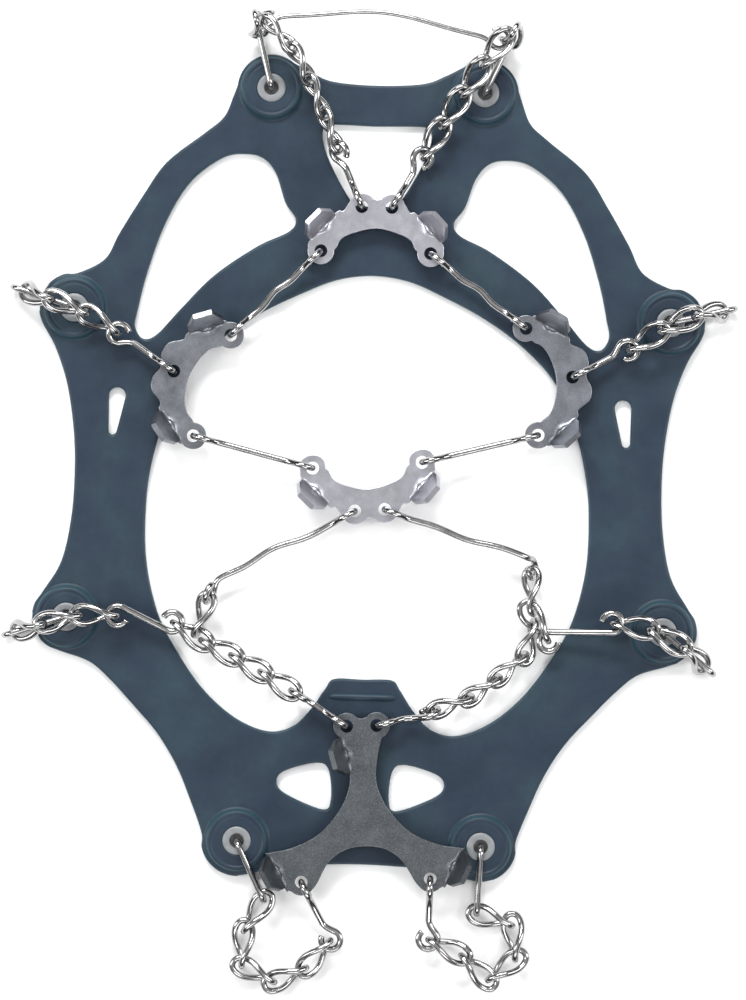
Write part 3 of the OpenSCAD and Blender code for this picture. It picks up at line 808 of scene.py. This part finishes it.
# The way cut under a lug for its eyelet link; the cutter reaches WAY_BELOW past the underside
WAY_LENGTH, WAY_WIDTH, WAY_BELOW = 20, 10, 2
FR, UR, LR, HR = 1, 3, 5, 7
OUTER_HALF = (
    [vec(0, 136.5), vec(16, 137.5), vec(24, 140.5)]
    + arc(LUGS[FR], 12, 120, 30, 4)
    + [vec(*p) for p in [(52, 132), (55.3, 124), (62, 118), (75.6, 107), (84, 94.5), (92, 81), (97, 71.5)]]
    + arc(LUGS[UR], 12.8, 95, -25, 5)
    + [vec(*p) for p in [(114, 39), (109.5, 26), (106.8, 10), (106, -5), (106.8, -22), (110, -38)]]
    + arc(LUGS[LR], 12.6, 45, -80, 5)
    + [vec(*p) for p in [(99, -74), (91.4, -80.2), (82.5, -89.5), (73.6, -99.5), (66.4, -111), (61, -123.5)]]
    + arc(LUGS[HR], 13, 10, -105, 5)
    + [vec(*p) for p in [(25, -146), (11, -145), (0, -144.7)]]
)
MAIN_HALF = [vec(*p) for p in [
    (0, 67.8), (13, 66), (25.6, 60.8), (40, 53.5), (54, 43.8), (66, 31.5), (73.5, 16), (78.5, -3), (80, -19),
    (79.3, -37), (75, -55), (68, -68.5), (58, -82.5), (46, -92.8), (34, -97.5), (25, -95.5), (18.5, -89),
    (13.6, -81.7), (10.3, -78), (0, -78)]]
UPPER_WINDOW = [
    (46.7, 110.6), (55.5, 109), (67, 99.8), (75.5, 85), (81.4, 67.7), (84.6, 54), (85.6, 47.5), (82.5, 43),
    (77.5, 44.8), (69, 54.4), (57.4, 66.6), (42.2, 77.4), (31, 83), (28.6, 87.5), (32.5, 93.5), (36, 103.5),
    (40.5, 109)]
FRONT_WINDOW = [
    (-17, 122), (0, 121.8), (17, 122), (19.6, 119.5), (18.6, 113), (14.5, 104), (9, 95), (6, 93), (-6, 93),
    (-9, 95), (-14.5, 104), (-18.6, 113), (-19.6, 119.5)]
HEEL_WINDOW = [
    (30.2, -115.5), (27.3, -111.6), (16, -108.4), (11.5, -111), (10.5, -121.5), (13.5, -125.2), (27, -119.8)]
SLOT_ENDS, SLOT_RADII = [(91.3, 22.2), (92.7, 9.7)], [3, 1.5]


def flip(loop, side):
    return [vec(side * p[0], p[1]) for p in loop]


def slot_loop():
    (a, b), (ra, rb) = SLOT_ENDS, SLOT_RADII
    return arc(a, ra, -6, 186, 14) + arc(b, rb, 186, 354, 10)


def revolved(bm, centre, profile, n=64):
    """A ring solid from a closed profile of (radius, height) points, turned about centre."""
    rings = []
    for i in range(n):
        a = 360 * i / n
        around = [(centre[0] + r * cosd(a), centre[1] + r * sind(a), z) for r, z in profile]
        rings.append([bm.verts.new((x * MM, y * MM, z * MM)) for x, y, z in around])
    for i in range(n):
        one, two = rings[i], rings[(i + 1) % n]
        for k in range(len(profile)):
            m = (k + 1) % len(profile)
            bm.faces.new((one[k], two[k], two[m], one[m]))


# Lug profile from the hole's wall round the recess and the rounded rim to inside the band
LUG_PROFILE = [
    (LUG_HOLE_R, 1.2), (LUG_HOLE_R, 4.9), (5.6, 5.15), (8.3, 5.15), (8.9, 5.0), (9.2, 5.05), (9.45, 5.32),
    (9.8, 5.4), (10.3, 5.3), (10.7, 4.95), (10.95, 4.4), (11.15, 3.6), (11.6, 3.15), (12.2, 2.99), (12.2, 2.4),
    (10.5, 1.2)]

loops = [smooth_loop(loop, 8) for loop in (mirrored(OUTER_HALF), mirrored(MAIN_HALF), FRONT_WINDOW)]
for side in (1, -1):
    windows = [smooth_loop(UPPER_WINDOW, 8), smooth_loop(HEEL_WINDOW, 8), slot_loop()]
    loops += [flip(loop, side) for loop in windows]
loops += [circle(p, LUG_HOLE_R, 48) for p in LUGS]
band = loose("band_work", filled_shape("band", loops, BAND_T, BAND_EDGE_R, BAND_T / 2))

lugs_bm = bmesh.new()
for c in LUGS:
    revolved(lugs_bm, c, LUG_PROFILE)
bmesh.ops.recalc_face_normals(lugs_bm, faces=lugs_bm.faces)
lugs_mesh = bpy.data.meshes.new("lugs")
lugs_bm.to_mesh(lugs_mesh)
lugs_bm.free()
boolean(band, loose("lugs_work", lugs_mesh), "UNION")

ways_bm = bmesh.new()
for c, angle in zip(LUGS, LINK_ANGLE):
    move = Matrix.Translation((c[0] * MM, c[1] * MM, 0)) @ Matrix.Rotation(math.radians(angle), 4, "Z")
    centre = Matrix.Translation((WAY_LENGTH / 2 * MM, 0, (LUG_GAP - WAY_BELOW) / 2 * MM))
    size = Matrix.Diagonal((WAY_LENGTH * MM, WAY_WIDTH * MM, (LUG_GAP + WAY_BELOW) * MM, 1))
    bmesh.ops.create_cube(ways_bm, size=1, matrix=move @ centre @ size)
ways_mesh = bpy.data.meshes.new("link_ways")
ways_bm.to_mesh(ways_mesh)
ways_bm.free()
boolean(band, loose("ways_work", ways_mesh), "DIFFERENCE")
harness_mesh = mesh_alone(band, "harness_elastomer")

# Ridge across the heel tab, a half-round bar. The eighth power keeps its size almost up to the ends
bm = bmesh.new()
bm.from_mesh(harness_mesh)
RIDGE_HALF, RIDGE_Y, RIDGE_W, RIDGE_H, RIDGE_SUNK = 12, -84.3, 1.2, 1.1, 0.15
ridge = []
for x in range(-RIDGE_HALF, RIDGE_HALF + 1):
    size = math.sqrt(max(0.0, 1 - (x / (RIDGE_HALF + 0.2)) ** 8))
    across = [
        (RIDGE_Y + RIDGE_W * size * cosd(a), BAND_T - RIDGE_SUNK + RIDGE_H * size * sind(a))
        for a in range(0, 181, 20)]
    ridge.append([bm.verts.new((x * MM, y * MM, z * MM)) for y, z in across])
for one, two in zip(ridge, ridge[1:]):
    for k in range(len(one) - 1):
        bm.faces.new((one[k], two[k], two[k + 1], one[k + 1]))
bmesh.ops.translate(bm, verts=bm.verts, vec=Vector(CENTRE_SHIFT * MM))
bmesh.ops.recalc_face_normals(bm, faces=bm.faces)
bm.to_mesh(harness_mesh)
bm.free()
piece("harness_elastomer", "harness", harness_mesh, 40)

GROMMET_PROFILE = [
    (2.5, 2.9), (2.5, 4.9), (2.7, 5.35), (3.1, 5.55), (4.2, 5.6), (4.8, 5.5), (5.1, 5.25), (5.12, 4.6),
    (5.12, 2.75), (2.7, 2.72)]
for c, name in zip(LUGS, NAMES):
    bm = bmesh.new()
    revolved(bm, c, GROMMET_PROFILE, 48)
    bmesh.ops.translate(bm, verts=bm.verts, vec=Vector(CENTRE_SHIFT * MM))
    bmesh.ops.recalc_face_normals(bm, faces=bm.faces)
    mesh = bpy.data.meshes.new(name + "_rivet")
    bm.to_mesh(mesh)
    bm.free()
    piece(name + "_rivet", name + "_grommet", mesh, 35)

# ---- Floor, light and camera ---------------------------------------------------------------
FLOOR_SIZE = 6.0
corners = [(x * FLOOR_SIZE / 2, y * FLOOR_SIZE / 2, 0) for x, y in ((-1, -1), (1, -1), (1, 1), (-1, 1))]
floor_mesh = mesh_from("floor", corners, [(0, 1, 2, 3)])
floor_mesh.materials.append(floor_material())
floor = bpy.data.objects.new("floor", floor_mesh)
bpy.context.scene.collection.objects.link(floor)


def softbox(name, place, aim, size, power):
    light = bpy.data.lights.new(name, "AREA")
    light.shape = "RECTANGLE"
    light.size, light.size_y = size
    light.energy = power
    obj = bpy.data.objects.new(name, light)
    obj.location = place
    obj.rotation_mode = "QUATERNION"
    obj.rotation_quaternion = (Vector(aim) - Vector(place)).to_track_quat("-Z", "Y")
    bpy.context.scene.collection.objects.link(obj)


softbox("key", (-0.2, 0.95, 0.85), (0, 0.05, 0), (0.8, 0.3), 17)
softbox("fill_right", (0.9, 0.1, 0.75), (0, 0, 0), (0.3, 0.9), 6)
softbox("fill_left", (-0.95, -0.05, 0.8), (0, 0, 0), (0.3, 0.9), 6.5)
softbox("back", (0.1, -0.9, 0.8), (0, 0, 0), (0.9, 0.3), 4.5)

world = bpy.data.worlds.new("studio")
world.use_nodes = True
w_nodes, w_links = world.node_tree.nodes, world.node_tree.links
background = w_nodes["Background"]
coords = w_nodes.new("ShaderNodeTexCoord")
split = w_nodes.new("ShaderNodeSeparateXYZ")
w_links.new(coords.outputs["Generated"], split.inputs["Vector"])
# Dark round the horizon and bright overhead, so that round wire shows dark and bright bands
greys = [(0.0, (0.04, 0.04, 0.042)), (0.45, (0.12, 0.12, 0.125)), (0.75, (0.75, 0.75, 0.76)), (1.0, (1, 1, 1))]
sky = ramp(w_nodes, w_links, split.outputs["Z"], greys)
w_links.new(sky, background.inputs["Color"])
background.inputs["Strength"].default_value = 0.65
bpy.context.scene.world = world

CAMERA_Z = 1.4
VIEW_HEIGHT, VIEW_Z = 0.36, 0.006  # the picture's long side shows this much at this height, in metres
CAMERA_XY = (0.00155, 0.00125)
ROLL = 1.5
SENSOR = 36
camera_data = bpy.data.cameras.new("camera")
camera_data.sensor_width = SENSOR
camera_data.lens = SENSOR * (CAMERA_Z - VIEW_Z) / VIEW_HEIGHT
camera_data.clip_end = 20
camera = bpy.data.objects.new("camera", camera_data)
camera.location = (*CAMERA_XY, CAMERA_Z)
camera.rotation_euler = (0, 0, math.radians(ROLL))
bpy.context.scene.collection.objects.link(camera)
bpy.context.scene.camera = camera
bpy.context.scene.view_settings.view_transform = "Standard"
